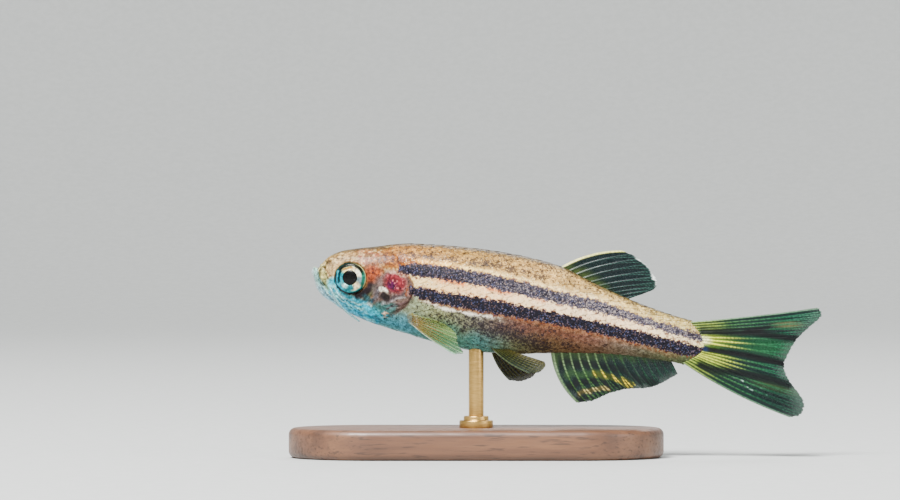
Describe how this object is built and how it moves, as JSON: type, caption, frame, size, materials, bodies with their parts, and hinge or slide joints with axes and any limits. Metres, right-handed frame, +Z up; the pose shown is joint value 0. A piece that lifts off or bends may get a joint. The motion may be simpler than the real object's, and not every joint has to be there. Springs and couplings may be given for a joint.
{
  "type": "zebra danio fish on a display stand",
  "caption": "Life-size still model of a small striped freshwater fish with its fins spread, held nose-up by one rod on a plain oblong base.",
  "frame": {"origin": "middle of the stand base's underside", "axes": "-X towards the fish's snout, +X towards its tail, -Y out of its left flank, +Z up"},
  "size_m": [0.0429, 0.014, 0.0171],
  "materials": {
    "skin": "wet, scaled fish skin with dark blue stripes on cream and a silvery sheen",
    "gill_cover": "thin shining gill cover, pink and red from the gills below",
    "eye": "clear cornea over a cream, gold and turquoise iris with a black pupil",
    "fin": "clear membrane between jointed olive and gold rays",
    "barbel": "soft pale skin",
    "rod": "satin drawn brass",
    "base": "dark stained walnut with a satin varnish"
  },
  "bodies": {
    "root": {"head": "skin", "lower_jaw": "skin", "trunk": "skin", "tail": "skin", "gill_cover_left": "gill_cover", "gill_cover_right": "gill_cover", "eye_left": "eye", "eye_right": "eye", "dorsal_fin": "fin", "anal_fin": "fin", "tail_fin_upper": "fin", "tail_fin_lower": "fin", "pectoral_fin_left": "fin", "pectoral_fin_right": "fin", "pelvic_fin_left": "fin", "pelvic_fin_right": "fin", "mouth_barbel_left": "barbel", "mouth_barbel_right": "barbel", "snout_barbel_left": "barbel", "snout_barbel_right": "barbel", "stand_rod": "rod", "stand_base": "base"}
  },
  "joints": []
}
